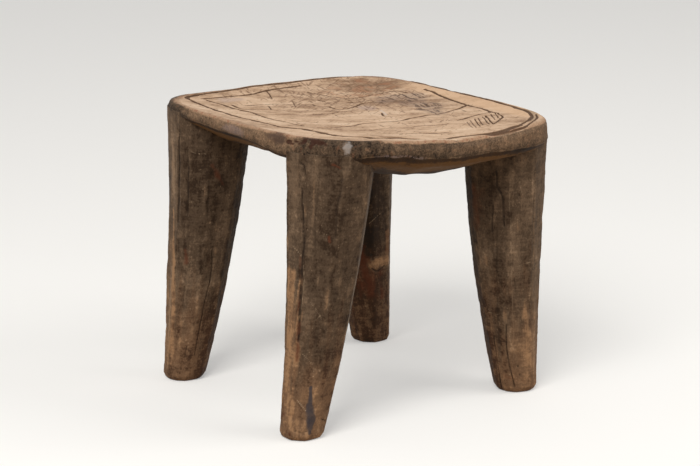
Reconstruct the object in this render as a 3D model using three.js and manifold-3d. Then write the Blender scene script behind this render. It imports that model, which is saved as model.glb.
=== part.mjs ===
// A low four-legged hardwood stool, carved by hand. Sizes are in millimetres and +Z is up.
// The seat's long direction runs along Y, and the stool's front side faces -Y.
// The origin is on the floor, under the middle of the stool's outer box.
import * as THREE from 'three';
import { mergeVertices } from 'three/addons/utils/BufferGeometryUtils.js';
import Module from 'manifold-3d';

const wasm = await Module();
wasm.setup();

// Seat seen from above: a rounded rectangle whose four corners are not quite alike
const seatCentreX = 7.5;
const seatHalfWidth = 162;
const seatHalfLength = 187;
const cornerSquareness = { backRight: 4.6, backLeft: 6.2, frontLeft: 4.2, frontRight: 4.9 };
const seatSteps = 120;

// The rim at stations round the seat, by their angle in degrees from +X towards +Y: its height above
// the floor, and the height of its upright side face. The edge was cut by eye, so it rises and falls,
// and its face is thin at the back and on the left and thicker over the front legs.
const rimStations = [
  { angle: 0, height: 321, face: 20 },
  { angle: 45, height: 323.5, face: 17 },
  { angle: 94, height: 323.5, face: 17 },
  { angle: 110, height: 321.8, face: 13 },
  { angle: 135, height: 323.5, face: 11.5 },
  { angle: 180, height: 321, face: 14 },
  { angle: 208, height: 322.5, face: 21.5 },
  { angle: 225, height: 323.5, face: 20 },
  { angle: 236, height: 322.5, face: 17 },
  { angle: 244, height: 320, face: 17.5 },
  { angle: 254, height: 317, face: 19.5 },
  { angle: 270, height: 313, face: 18.5 },
  { angle: 315, height: 318.5, face: 25 },
  { angle: 360, height: 321, face: 20 },
];
const middleHeight = 320;

// Seat section, from the middle of the underside out to the rim and back to the middle of the top.
// share is how far out a point lies, 1 on the widest line. height is measured from the rim, or from
// the lower edge of the side face where fromEdge is 1.
// swing is how much deeper the underside is cut towards the front and the back than on average,
// and how much less deep towards the two sides.
const seatSection = [
  { share: 0, height: -53, fromEdge: 0, swing: 0 },
  { share: 0.45, height: -50, fromEdge: 0, swing: 5 },
  { share: 0.74, height: -40.5, fromEdge: 0, swing: 6 },
  { share: 0.95, height: -7, fromEdge: 1, swing: 3 },
  { share: 0.993, height: 0, fromEdge: 1, swing: 0 },
  { share: 1, height: 3, fromEdge: 1, swing: 0 },
  { share: 1, height: -7, fromEdge: 0, swing: 0 },
  { share: 0.991, height: -2.5, fromEdge: 0, swing: 0 },
  { share: 0.972, height: 0, fromEdge: 0, swing: 0 },
  { share: 0.93, height: -0.5, fromEdge: 0, swing: 0 },
  { share: 0.8, height: -2.5, fromEdge: 0, swing: 0 },
  { share: 0.55, height: -5, fromEdge: 0, swing: 0 },
  { share: 0.3, height: -6.5, fromEdge: 0, swing: 0 },
  { share: 0, height: -7, fromEdge: 0, swing: 0 },
];

// Place of each leg's middle line, and its width across the flats, at the floor, at half height and
// under the seat. blankTop is how high its wood stands before the seat's underside is fitted into it,
// which is just above the lower edge of the rim's side face.
const legs = {
  leg_front_left: {
    foot: { x: -147.5, y: -114, width: 45 },
    middle: { x: -123.5, y: -114, width: 68 },
    top: { x: -113.3, y: -120.3, width: 88 },
    blankTop: 309,
  },
  leg_front_right: {
    foot: { x: 146, y: -118, width: 45 },
    middle: { x: 132.3, y: -115.5, width: 70.5 },
    top: { x: 125, y: -118, width: 88 },
    blankTop: 309,
  },
  leg_back_right: {
    foot: { x: 129, y: 138, width: 45 },
    middle: { x: 115, y: 138, width: 69 },
    top: { x: 107, y: 135, width: 86 },
    blankTop: 311,
  },
  leg_back_left: {
    foot: { x: -139, y: 139, width: 45 },
    middle: { x: -120.2, y: 132.4, width: 70 },
    top: { x: -107.7, y: 129, width: 90 },
    blankTop: 313.5,
  },
};
const legPathTop = 280;
const legRings = 12;

// Each leg was hewn with eight long flats, whose corners wore rounder than a true octagon's
const legFlats = 8;
const stepsPerFlat = 4;
const cornerSharpness = 0.7;

// Worn edge round the sole of a foot: shares of the leg's width, and heights above the floor
const soleSection = [
  { share: 0, height: 0 },
  { share: 0.8, height: 0 },
  { share: 0.92, height: 1.5 },
  { share: 1, height: 6 },
];

// The upper part of a leg follows the seat's outline, so that it stands flush under the rim
const insetUnderRim = 0.8;
const followsRimFrom = 110;
const flushFrom = 250;

// Joint between a leg and the seat: a round tenon in a blind socket, with the leg's shoulder fitted
// to the underside. The tenon stands a little inside the leg's middle, where the seat is thicker.
const tenonInset = 0.93;
const tenonRadius = 20;
const tenonTop = 300;
const tenonRoot = 240;
const tenonSteps = 48;
const jointGap = 0.3;

// Finish of the wood
const seatColor = 0xa58262;
const legColor = 0x4f4034;
const woodRoughness = 0.75;

// The rim's height or face at an angle, on a smooth curve through its stations
function roundTheRim(key, angle) {
  const degrees = THREE.MathUtils.euclideanModulo(THREE.MathUtils.radToDeg(angle), 360);
  const next = rimStations.findIndex((station) => station.angle > degrees);
  const from = rimStations[next - 1];
  const to = rimStations[next];
  const share = THREE.MathUtils.smoothstep(degrees, from.angle, to.angle);
  return THREE.MathUtils.lerp(from[key], to[key], share);
}

function squarenessTowards(x, y) {
  if (y >= 0) return x >= 0 ? cornerSquareness.backRight : cornerSquareness.backLeft;
  return x >= 0 ? cornerSquareness.frontRight : cornerSquareness.frontLeft;
}

// Length of a vector in the seat's own measure, in which its outline is at 1 all round
function reachTowards(across, along) {
  const power = squarenessTowards(across, along);
  return (Math.abs(across) ** power + Math.abs(along) ** power) ** (1 / power);
}

function toSolid(geometry) {
  geometry.deleteAttribute('normal');
  geometry.deleteAttribute('uv');
  const welded = mergeVertices(geometry, 0.0001);
  const vertProperties = Float32Array.from(welded.attributes.position.array);
  const triVerts = Uint32Array.from(welded.index.array);
  return new wasm.Manifold(new wasm.Mesh({ numProp: 3, vertProperties, triVerts }));
}

function toMesh(name, solid, color) {
  const { vertProperties, triVerts } = solid.getMesh();
  const geometry = new THREE.BufferGeometry();
  geometry.setAttribute('position', new THREE.BufferAttribute(vertProperties, 3));
  geometry.setIndex(new THREE.BufferAttribute(triVerts, 1));
  geometry.computeVertexNormals();
  const material = new THREE.MeshStandardMaterial({ color, roughness: woodRoughness, metalness: 0 });
  const mesh = new THREE.Mesh(geometry, material);
  mesh.name = name;
  return mesh;
}

// Turns a section about +Z and moves each of its points to where shape says for that angle and row
function carve(section, steps, shape) {
  const profile = section.map(({ share, height }) => new THREE.Vector2(share, height));
  const geometry = new THREE.LatheGeometry(profile, steps);
  geometry.rotateX(Math.PI / 2);
  const position = geometry.attributes.position;
  for (let i = 0; i < position.count; i += 1) {
    const angle = Math.atan2(position.getY(i), position.getX(i));
    const point = shape(angle, section[i % section.length]);
    position.setXYZ(i, point.x, point.y, point.z);
  }
  return toSolid(geometry);
}

// The seat before its sockets are cut
function seatBlank() {
  return carve(seatSection, seatSteps, (angle, { share, height, fromEdge, swing }) => {
    const cosine = Math.cos(angle);
    const sine = Math.sin(angle);
    const outline = share / reachTowards(cosine, sine);
    const rim = THREE.MathUtils.lerp(middleHeight, roundTheRim('height', angle), share ** 2);
    const base = rim - fromEdge * roundTheRim('face', angle);
    return new THREE.Vector3(
      seatCentreX + seatHalfWidth * cosine * outline,
      seatHalfLength * sine * outline,
      base + height - swing * (sine ** 2 - cosine ** 2),
    );
  });
}

// A leg's x, y or width at a height, on a smooth curve through its foot, middle and top values
function alongLeg({ foot, middle, top }, key, height) {
  const t = height / legPathTop;
  const footPart = foot[key] * (1 - t) * (1 - 2 * t);
  const middlePart = middle[key] * 4 * t * (1 - t);
  const topPart = top[key] * t * (2 * t - 1);
  return footPart + middlePart + topPart;
}

// Rows of a leg's section, from the sole up to the top of its blank
function legSection(blankTop) {
  const lowest = soleSection.at(-1).height;
  const section = [...soleSection];
  for (let ring = 1; ring <= legRings; ring += 1) {
    section.push({ share: 1, height: THREE.MathUtils.lerp(lowest, blankTop, ring / legRings) });
  }
  section.push({ share: 0, height: blankTop });
  return section;
}

// The leg before its shoulder is fitted to the seat
function legBlank(leg) {
  const outward = Math.atan2(leg.top.y, leg.top.x);
  const flatAngle = (2 * Math.PI) / legFlats;
  const flushReach = 1 - insetUnderRim / seatHalfLength;

  return carve(legSection(leg.blankTop), legFlats * stepsPerFlat, (angle, { share, height }) => {
    const offFlat = angle - Math.round(angle / flatAngle) * flatAngle;
    const corner = 1 + cornerSharpness * (1 / Math.cos(offFlat) - 1);
    const radius = (alongLeg(leg, 'width', height) / 2) * share * corner;
    const x = alongLeg(leg, 'x', height) + radius * Math.cos(angle + outward) - seatCentreX;
    const y = alongLeg(leg, 'y', height) + radius * Math.sin(angle + outward);

    const reach = reachTowards(x / seatHalfWidth, y / seatHalfLength);
    const follow = THREE.MathUtils.smoothstep(height, followsRimFrom, flushFrom);
    const pull = reach > flushReach ? THREE.MathUtils.lerp(1, flushReach / reach, follow) : 1;
    return new THREE.Vector3(seatCentreX + x * pull, y * pull, height);
  });
}

// A round bar between two heights, in line with the top of a leg
function bar(leg, radius, bottom, top) {
  const geometry = new THREE.CylinderGeometry(radius, radius, top - bottom, tenonSteps);
  geometry.rotateX(Math.PI / 2);
  geometry.translate(leg.top.x * tenonInset, leg.top.y * tenonInset, (bottom + top) / 2);
  return toSolid(geometry);
}

const stool = new THREE.Group();
const blank = seatBlank();
const shoulderCutter = blank.translate([0, 0, -jointGap]);
let seat = blank;

for (const [name, leg] of Object.entries(legs)) {
  const socket = bar(leg, tenonRadius + jointGap, tenonRoot, tenonTop + jointGap);
  const tenon = bar(leg, tenonRadius, tenonRoot, tenonTop);
  seat = seat.subtract(socket);
  stool.add(toMesh(name, legBlank(leg).subtract(shoulderCutter).add(tenon), legColor));
}
stool.add(toMesh('seat', seat, seatColor));

export default stool;
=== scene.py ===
"""A low four-legged hardwood stool, carved by hand: its seat and its legs, dressed round the CAD frame.

Shapes are worked out in millimetres in the frame's own axes, and go into the meshes in metres.
The seat's long direction runs along Y, the front side faces -Y and the floor is at 0.
"""
import math

import bmesh
import bpy
import numpy as np
from bpy.props import FloatProperty, FloatVectorProperty, PointerProperty
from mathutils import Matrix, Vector


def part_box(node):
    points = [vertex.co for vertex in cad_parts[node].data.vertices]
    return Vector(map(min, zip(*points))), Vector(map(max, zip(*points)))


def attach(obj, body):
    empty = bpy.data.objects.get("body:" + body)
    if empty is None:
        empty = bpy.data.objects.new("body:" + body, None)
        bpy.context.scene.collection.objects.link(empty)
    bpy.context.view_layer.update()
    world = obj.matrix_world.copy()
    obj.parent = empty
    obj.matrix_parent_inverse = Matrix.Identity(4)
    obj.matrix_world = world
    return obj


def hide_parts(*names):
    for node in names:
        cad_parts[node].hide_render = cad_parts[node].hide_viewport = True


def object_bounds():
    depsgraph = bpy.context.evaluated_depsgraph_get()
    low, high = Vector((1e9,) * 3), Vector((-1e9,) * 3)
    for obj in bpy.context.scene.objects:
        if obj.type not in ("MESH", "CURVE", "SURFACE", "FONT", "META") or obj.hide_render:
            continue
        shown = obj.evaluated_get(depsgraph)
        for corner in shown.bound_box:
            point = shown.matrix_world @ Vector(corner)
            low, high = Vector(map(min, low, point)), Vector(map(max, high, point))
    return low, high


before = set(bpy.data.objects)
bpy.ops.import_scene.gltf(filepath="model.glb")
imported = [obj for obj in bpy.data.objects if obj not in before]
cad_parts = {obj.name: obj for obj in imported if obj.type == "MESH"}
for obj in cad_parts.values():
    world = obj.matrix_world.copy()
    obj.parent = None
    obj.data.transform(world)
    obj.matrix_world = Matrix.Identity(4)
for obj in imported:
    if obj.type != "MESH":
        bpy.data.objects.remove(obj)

bl_info = {
    "name": "Carved Wooden Stool",
    "version": (1, 0, 0),
    "blender": (4, 5, 0),
    "location": "3D View > Sidebar > Stool",
    "description": "Carves the seat and hews the legs of a low wooden stool",
    "category": "Add Mesh",
}

MM = 0.001
CAD_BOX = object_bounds()
SEAT_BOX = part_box("seat")

# The rim at stations round the seat: its angle in degrees from +X towards +Y, its height above the
# floor, and the height of its upright side face
RIM_STATIONS = (
    (0, 321, 20),
    (45, 323.5, 17),
    (94, 323.5, 17),
    (110, 321.8, 13),
    (135, 323.5, 11.5),
    (180, 321, 14),
    (208, 322.5, 21.5),
    (225, 323.5, 20),
    (236, 322.5, 17),
    (244, 320, 17.5),
    (254, 317, 19.5),
    (270, 313, 18.5),
    (315, 318.5, 25),
    (360, 321, 20),
)
HEIGHT_COLUMN = 1
FACE_COLUMN = 2

# How square each corner of the seat is: back right, back left, front left and front right
CORNER_SQUARENESS = (4.6, 6.2, 4.2, 4.9)

# Seat section from the middle of the underside out to the rim and back to the middle of the top:
# share of the way out, height, whether the height is from the side face's lower edge, and swing,
# which is how much deeper the underside is towards the front and the back than towards the sides
SEAT_SECTION = (
    (0, -53, 0, 0),
    (0.45, -50, 0, 5),
    (0.74, -40.5, 0, 6),
    (0.95, -7, 1, 3),
    (0.993, 0, 1, 0),
    (1, 3, 1, 0),
    (1, -7, 0, 0),
    (0.991, -2.5, 0, 0),
    (0.972, 0, 0, 0),
    (0.93, -0.5, 0, 0),
    (0.8, -2.5, 0, 0),
    (0.55, -5, 0, 0),
    (0.3, -6.5, 0, 0),
    (0, -7, 0, 0),
)
UPPER_EDGE_ROW = 7

# Distances along the section are measured on a seat of this radius and side face. Its rows are this
# far apart, and so many of them are averaged to round its corners.
SECTION_RADIUS = 165
SECTION_FACE = 18
SECTION_STEP = 0.5
SECTION_SOFTNESS = 7

# The seat's shell: a grid for the top, then rings over the rim and under the seat.
# Each run of rings is its share where it starts, and how far apart the rings are.
TOP_COLUMNS = 126
TOP_ROWS = 146
TOP_SHARE = 0.955
RING_RUNS = ((TOP_SHARE, 1.5), (0.993, 2), (0.95, 3.2), (0.74, 7), (0.45, 12))

# The shell is made finer near the lines, twice: how far past a line's edge, and the weakest line that
# counts. The lines may reach over so many rings.
FINER_STEPS = ((1.2, 0), (-0.2, 0.5))
RINGS_WITH_LINES = 4

# The way the scraped marks of the top run
GRAIN_ANGLE = math.radians(-36)

# How far a hand's tremble takes the lines off their points
LINE_WANDER = 1.1

# Lines cut into the top by hand. Each has its width, its depth as a share of the deepest, and points.
SEAT_LINES = (
    # The border: its left side, its front, its right side and back, and a second line round a corner
    (
        7.4,
        0.9,
        (
            (-96, 173), (-114, 163), (-115, 147), (-117, 125), (-119, 91), (-121, 60), (-119, 34),
            (-115, 10), (-113, -12), (-113, -29), (-104, -46), (-97, -69), (-97, -98),
        ),
    ),
    (
        11.5,
        1,
        (
            (-113, -29), (-104, -46), (-97, -69), (-97, -98), (-90, -116), (-77, -132), (-72, -142),
            (-48, -149), (-33, -161), (-20, -168), (7, -167), (24, -168), (42, -177), (56, -180),
            (74, -178), (99, -170),
        ),
    ),
    (
        6,
        0.7,
        (
            (74, -178), (99, -170), (124, -156), (143, -140), (153, -125), (158, -107), (160, -76),
            (162, -45), (163, 0), (163, 52), (162, 89), (160, 120), (153, 146), (138, 164),
            (110, 174), (60, 178), (0, 178), (-60, 177), (-96, 173),
        ),
    ),
    (3.6, 0.65, ((153, -137), (138, -154), (120, -168), (104, -178), (83, -183), (65, -184))),
    # The left side of the frame inside the border, and the curved lines of the middle
    (
        5.4,
        0.7,
        (
            (-96, 151), (-95, 140), (-92, 116), (-92, 94), (-87, 68), (-91, 37), (-89, 14), (-86, -5),
            (-86, -29),
        ),
    ),
    (5, 0.6, ((-83, 116), (-85, 95), (-75, 87), (-57, 76), (-37, 67))),
    (
        5,
        0.6,
        ((-93, 82), (-88, 67), (-80, 57), (-64, 46), (-47, 39), (-31, 32), (-13, 27), (10, 26)),
    ),
    (
        4.6,
        0.6,
        ((1, 79), (3, 65), (11, 59), (10, 45), (19, 39), (30, 41), (45, 49), (59, 54), (67, 51)),
    ),
    # The front of the frame, with a short line behind it
    (5.4, 0.75, ((-77, -47), (-67, -55), (-45, -53), (-15, -46), (10, -49))),
    (4.4, 0.5, ((-79, 15), (-69, 0), (-55, -14))),
    (5.2, 0.85, ((134, -38), (114, -46), (87, -51), (65, -49), (44, -50), (27, -55), (10, -49))),
    # The back of the comb, the frame's right side that runs into it, the comb's tip and its teeth
    (5, 0.8, ((127, -86), (105, -88), (76, -95))),
    (
        5,
        0.95,
        ((149, 60), (145, 32), (141, 11), (135, -20), (133, -40), (134, -67), (130, -83), (131, -96)),
    ),
    (3, 0.7, ((131, -96), (121, -117), (114, -123), (99, -133), (88, -140))),
    (2, 0.4, ((77, -109), (60, -139))),
    (2, 0.4, ((85, -105), (63, -142))),
    (2, 0.5, ((94, -101), (70, -140))),
    (2, 0.5, ((100, -99), (77, -137))),
    (2.2, 0.6, ((108, -98), (85, -137))),
    (2.8, 0.8, ((114, -97), (88, -140))),
    (2, 0.5, ((123, -94), (106, -123))),
    (2, 0.5, ((129, -94), (114, -119))),
    # The back of the frame
    (6, 0.8, ((-97, 156), (-88, 156), (-60, 156), (-36, 155), (-2, 160), (21, 162), (42, 163))),
    # Loose strokes
    (2.6, 0.4, ((114, -50), (113, -64), (120, -76))),
    (2.6, 0.4, ((88, -61), (87, -79))),
    (2.4, 0.5, ((-9, 156), (-22, 127))),
    (2.4, 0.5, ((-47, 97), (-57, 74))),
    (2.4, 0.45, ((-9, 104), (-21, 78))),
    (3, 0.45, ((-80, -22), (-67, -32))),
    (3, 0.45, ((-15, -96), (-11, -111))),
    (2.6, 0.4, ((7, -116), (19, -136))),
    (4.6, 0.4, ((34, 134), (38, 120), (45, 104), (54, 88), (70, 81), (91, 85))),
    (4.6, 0.4, ((20, 94), (29, 72), (48, 66))),
    (4.6, 0.4, ((101, 82), (122, 82), (125, 65))),
    (5, 0.45, ((-36, -86), (-8, -84), (24, -92), (50, -104))),
    (5, 0.4, ((-60, -108), (-30, -118), (2, -128), (30, -140))),
    (5, 0.4, ((-70, 108), (-40, 104), (-18, 92), (2, 79))),
    (3, 0.85, ((39, -3), (29, -22), (32, -29), (39, -35))),
)

# Two pale scratches, and the weathered strip round the front right corner, in the same way
PALE_LINES = ((2.6, 0.8, ((46, 8), (34, -20))), (3, 0.8, ((-52, -154), (-40, -160))))
GREY_LINES = ((11, 0.9, ((159, -112), (154, -132), (143, -146), (128, -158))),)

# The rough, split patch of the top, as points along its middle, and its half width
ROUGH_PATCH = ((84, 48), (104, 56), (121, 36), (96, 14), (106, -8), (92, -28), (86, -45))
ROUGH_REACH = 19

# Marks on the rim: place and half size. The chips are broken out of it, the others are coloured: the grey
# lip is a painted highlight along the lower edge, and the lilac side patch a painted sheen.
RIM_CHIPS = (((-142, -131, 318), (13, 21, 7)), ((-150, -104, 316), (8, 14, 4)))
PALE_SCAR = ((-123, -163, 316), (5, 5, 9))
GREY_LIP_HIGHLIGHT = ((-68, -184, 304), (40, 14, 9))
DARK_SPOT = ((-153, -80, 317), (12, 22, 7))
LILAC_SIDE_SHEEN = ((-154, 5, 313), (12, 26, 6))

# Parts of the seat that wear or dirt has changed: place and half size
FRONT_CORNER = ((-132, -152, 312), (62, 54, 60))
BACK_CORNER = ((-150, 150, 312), (40, 70, 60))
FRONT_WEAR = ((-45, -176, 316), (92, 26, 40))
BACK_WEAR = ((62, 92, 315), (118, 112, 60))
DARK_FIELD = ((116, 116, 318), (52, 46, 40))
REDDISH_PATCH = ((100, 110, 318), (60, 50, 40))
LILAC_PATCHES = (((-70, 140, 320), (20, 14, 40)), ((42, 26, 313), (12, 14, 40)))

# Tool marks, by the width and the run of one: scraped on the top, chiselled on the side, hewn under
# the seat, and hewn and then shaved on the legs
SCRAPED = (24, 9)
CHISELLED = (24, 22)
HEWN_UNDER = (24, 30)
HEWN_LEG = (18, 40)
SHAVED_LEG = (9, 14)

# How far across from the middle of a leg the rim no longer stands over it, and wholly does
OVER_LEG = (56, 46)

# Widths of the worn edge over a leg, and of the bands of knocks along the rim's upper and lower edge
WORN_WIDTH = 7
UPPER_KNOCKS_WIDTH = 4
LOWER_KNOCKS_WIDTH = 2.5

# Where the smooth band along the right side lies, in metres: across, towards the back and the front.
# Each pair is where it starts to fade in, and where it is full.
BAND_ACROSS = (0.132, 0.142)
BAND_BACK = (0.13, 0.06)
BAND_FRONT = (-0.165, -0.13)

# The left side of the seat, where the side is painted lighter as painted light, and the part that faces
# away from the front left corner, where the rim gets painted shade, in metres
LEFT_SIDE = (-0.07, -0.13)
AWAY_ACROSS = 0.57
AWAY_ALONG = 0.79
FAR_SHADED_SIDE = (0.02, 0.08)

# Height above the side face's lower edge that the whole top is given
ABOVE_ON_TOP = 30.0

# Bands of colour above the side face's lower edge, in millimetres: start, full, fall and end. The lip
# bands are painted highlights along that edge, the first also rubbed wear; the facet band stops short of
# the edge, leaving a dark strip of painted shadow under the lip.
RUBBED_LIP_HIGHLIGHT_BAND = (-0.5, 0.5, 1, 2.2)
GREY_LIP_HIGHLIGHT_BAND = (0, 1, 2, 4.5)
FACET_BAND = (-26, -16, -7, -2)

# Where one colour of the seat gives way to the next, in millimetres: the rim and the side by how far
# they lie below the top, or inside it where that is below 0, and the underside by its height above
# the side's lower edge
RIM_STARTS = (-5, -1.5)
SIDE_STARTS = (-0.5, 3.5)
UNDER_STARTS = (0.3, -1.2)

# How far the chopped strokes of the top are turned to either side of the grain, in radians
FALLING_TURN = 0.42
RISING_TURN = 0.35

# Heights in metres between which a leg's patina turns warm, partly worn wood and partly painted warm
# light from the floor
WARM_HEIGHTS = (0.16, 0.01)

# Shades of each surface from dark to light, with the tone, from 0 to 1, that each stands at
TOP_TONES = (
    (0.2, "dash"), (0.4, "streak"), (0.52, "bare_shade"), (0.64, "bare"), (0.85, "bare_light"),
)
RIM_TONES = ((0.3, "side"), (0.5, "rim"), (0.75, "bare_shade"))
SIDE_TONES = (
    (0.15, "crack"), (0.35, "middle"), (0.55, "side"), (0.72, "side_left"), (0.9, "rim"),
)
# The dark shades under the seat are painted shade
UNDER_TONES = ((0.25, "crack"), (0.45, "under"), (0.62, "facet"), (0.9, "side"))
# On the legs the lighter tones stand partly for painted light on outward sides, the darker ones for
# painted shade on inward sides
LEG_TONES = (
    (0.05, "crack"), (0.26, "inner"), (0.46, "middle"), (0.66, "outer"), (0.9, "rubbed"),
)
FOOT_TONES = ((0.05, "inner"), (0.26, "warm_dark"), (0.56, "warm"), (0.86, "leg_bare"))
BARE_LEG_TONES = ((0.2, "leg_red"), (0.45, "warm"), (0.7, "leg_bare"))

# How shiny all the wood is, and how strongly its finest relief shows
WOOD_SHEEN = 0.12
WOOD_BUMP = 0.45

# Place of each leg's middle line and its width across the flats, at the floor, at half height and
# under the seat. edges are the angles of its hewn corners from +X towards +Y, at the top and the foot.
# Marks have a width, a strength, and points of an angle round the leg and a height. The light and dark
# marks are mostly painted light and painted shade on single facets.
LEGS = {
    "leg_front_left": {
        "foot": (-147.5, -114, 45),
        "middle": (-123.5, -114, 68),
        "top": (-113.3, -120.3, 88),
        "edges": (
            (-171, -160), (-112, -113), (-66, -62), (-20, -18), (25, 25), (70, 70), (112, 112),
            (150, 155),
        ),
        "crack": (
            (4.6, 0.8, ((-172, 268), (-168, 237), (-164, 211), (-166, 192), (-163, 153), (-160, 110))),
            (4.6, 0.5, ((-111, 288), (-113, 270), (-115, 251), (-113, 223))),
            (4.8, 0.4, ((-143, 289), (-145, 262), (-147, 236), (-144, 210))),
            (1.8, 0.5, ((-89, 259), (-89, 246))),
            (2.6, 0.8, ((-179, 297), (-170, 295), (-167, 286))),
            (1.6, 0.6, ((-150, 12), (-134, 10), (-118, 11))),
            (1.8, 0.7, ((-79, 22), (-68, 20), (-58, 17))),
            (1.6, 0.4, ((-153, 44), (-127, 32))),
        ),
        "pale": (
            (1.3, 0.8, ((167, 207), (194, 198))),
            (1.5, 0.7, ((-143, 151), (-118, 133))),
            (1.3, 0.6, ((-132, 131), (-122, 139))),
            (1.4, 0.7, ((-151, 96), (-124, 84))),
            (1.5, 0.9, ((-153, 47), (-127, 35))),
            (1.6, 0.7, ((-162, 190), (-158, 160), (-163, 130))),
            # A painted highlight along the leg's right edge, drawn like a pale scratch
            (3.6, 1, ((-52, 285), (-53, 213), (-56, 166), (-57, 60))),
        ),
        "light": ((30, 0.5, ((166, 300), (168, 190), (170, 60))),),
        "dark": (
            (90, 1.2, ((-122, 310), (-122, 180), (-118, 90))),
            (14, 0.8, ((-163, 290), (-158, 110))),
        ),
        "bare": (
            (30, 1, ((172, 178), (176, 100), (178, 8))),
            (12, 0.8, ((-166, 172), (-163, 90), (-164, 16))),
            (26, 0.35, ((-140, 60), (-136, 8))),
        ),
        "red": (
            (5, 0.9, ((-126, 298), (-115, 295))),
            (9, 0.8, ((-161, 128), (-160, 88))),
            (5, 0.9, ((-122, 222), (-120, 217))),
            (10, 0.5, ((-170, 196), (-168, 176))),
        ),
        "stain": ((6, 1, ((-122, 60), (-117, 40), (-107, 10))), (13, 1, ((-117, 38), (-108, 16)))),
    },
    "leg_front_right": {
        "foot": (146, -118, 45),
        "middle": (132.3, -115.5, 70.5),
        "top": (125, -118, 88),
        "edges": (
            (-142, -156), (-121, -129), (-86, -84), (-43, -43), (0, 0), (45, 45), (90, 90), (135, 138),
            (176, 176),
        ),
        "crack": (
            (3.6, 0.8, ((-142, 264), (-141, 247), (-135, 239), (-132, 230), (-132, 202))),
            (3, 0.6, ((-149, 224), (-151, 193))),
            (4, 0.4, ((-143, 200), (-147, 150), (-152, 100), (-155, 60))),
            (1.6, 0.5, ((-117, 140), (-116, 125))),
            (2.4, 0.75, ((-135, 83), (-139, 65), (-140, 47), (-136, 31), (-133, 16), (-131, 8))),
            (2.4, 0.75, ((-168, 66), (-169, 57), (-169, 39), (-171, 7))),
            (1.6, 0.5, ((-164, 61), (-142, 63))),
            (2.6, 0.9, ((-109, 238), (-108, 236))),
            (2.4, 0.8, ((-114, 25), (-114, 22))),
            (2.4, 0.8, ((-116, 35), (-116, 33))),
            (2.4, 0.4, ((-86, 263), (-80, 158), (-83, 111))),
        ),
        "pale": (
            (1.8, 0.4, ((-122, 253), (-122, 160), (-122, 77), (-129, 35))),
            (1.5, 0.7, ((-109, 251), (-105, 239))),
            (1.4, 0.6, ((-116, 153), (-85, 156))),
            (1.3, 0.5, ((-174, 96), (-139, 95))),
        ),
        "light": (
            (20, 0.5, ((-118, 200), (-116, 120))),
            (10, 0.5, ((-66, 280), (-66, 20))),
            (50, 0.7, ((-130, 70), (-125, 5))),
            (34, 0.9, ((-178, 290), (-172, 120))),
        ),
        "dark": ((20, 0.5, ((-140, 160), (-150, 60))),),
        "bare": ((14, 0.4, ((-170, 90), (-168, 10))), (30, 0.35, ((-95, 110), (-92, 15)))),
        "red": ((34, 0.5, ((178, 240), (184, 200))), (14, 0.35, ((-150, 20), (-110, 14)))),
        "stain": (),
    },
    "leg_back_right": {
        "foot": (129, 138, 45),
        "middle": (115, 138, 69),
        "top": (107, 135, 86),
        "edges": (
            (-157, -157), (-103, -110), (-64, -62), (-18, -18), (28, 28), (74, 74), (119, 119),
            (163, 163),
        ),
        "crack": (
            (3, 0.9, ((-109, 99), (-92, 94), (-74, 99))),
            (3.6, 1, ((-171, 17), (-169, 15))),
            (2, 0.6, ((-139, 120), (-140, 84))),
        ),
        "pale": ((1.6, 0.8, ((-113, 156), (-101, 161), (-86, 167))),),
        "light": ((16, 0.8, ((-66, 290), (-64, 150))), (22, 2, ((-108, 103), (-86, 107), (-60, 104)))),
        "dark": ((60, 1.2, ((-120, 300), (-118, 130))),),
        "bare": (
            (17, 1.7, ((-108, 103), (-86, 107), (-66, 104))),
            (10, 1.4, ((-64, 141), (-66, 115))),
            (12, 0.8, ((-142, 98), (-134, 73))),
            (10, 0.5, ((-162, 60), (-172, 30), (-179, 8))),
            (4, 0.6, ((-97, 88), (-96, 84))),
        ),
        "red": (
            (28, 0.9, ((-133, 118), (-122, 95), (-115, 66))),
            (20, 0.6, ((-150, 92), (-140, 62))),
            (16, 0.5, ((-90, 92), (-84, 60))),
        ),
        "stain": (),
    },
    "leg_back_left": {
        "foot": (-139, 139, 45),
        "middle": (-120.2, 132.4, 70),
        "top": (-107.7, 129, 90),
        "edges": (
            (-169, -171), (-149, -147), (-117, -119), (-72, -72), (-27, -27), (18, 18), (62, 62),
            (107, 107), (150, 152),
        ),
        "crack": (
            (7, 1, ((-167, 294), (-169, 272), (-167, 254), (-170, 237), (-169, 218), (-171, 190))),
            (4, 0.6, ((-150, 274), (-149, 240), (-148, 198))),
            (1.6, 0.4, ((-146, 239), (-119, 238))),
            (3, 0.6, ((-118, 240), (-116, 220), (-115, 199))),
            (2.4, 0.6, ((-166, 168), (-162, 139))),
            (1.8, 0.5, ((-146, 116), (-146, 92))),
            (1.9, 0.7, ((-100, 163), (-97, 124), (-100, 110), (-103, 86), (-105, 62), (-105, 32))),
            (1.8, 0.6, ((-129, 45), (-130, 31))),
        ),
        "pale": (
            (1.8, 0.8, ((-147, 275), (-135, 271), (-124, 270))),
            (1.4, 0.4, ((-136, 217), (-120, 215))),
            (2, 0.5, ((-176, 286), (-177, 240), (-178, 200))),
        ),
        "light": (
            (20, 1, ((172, 300), (174, 160), (176, 20))),
            (44, 0.5, ((-128, 130), (-124, 10))),
            (34, 0.9, ((-78, 300), (-78, 120))),
        ),
        "dark": ((44, 0.7, ((-140, 310), (-134, 190))),),
        "bare": (
            (11, 0.9, ((172, 200), (178, 166), (183, 143), (188, 108), (190, 73), (192, 20))),
            (18, 0.4, ((160, 120), (165, 20))),
        ),
        "red": ((9, 0.7, ((-148, 158), (-145, 143))), (11, 0.6, ((-116, 257), (-94, 233)))),
        "stain": (),
    },
}

# The kinds of marks, and the height at which the top of a leg's middle line is placed
LEG_MARKS = ("crack", "pale", "bare", "red", "stain", "light", "dark")
LEG_PATH_TOP = 280

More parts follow.
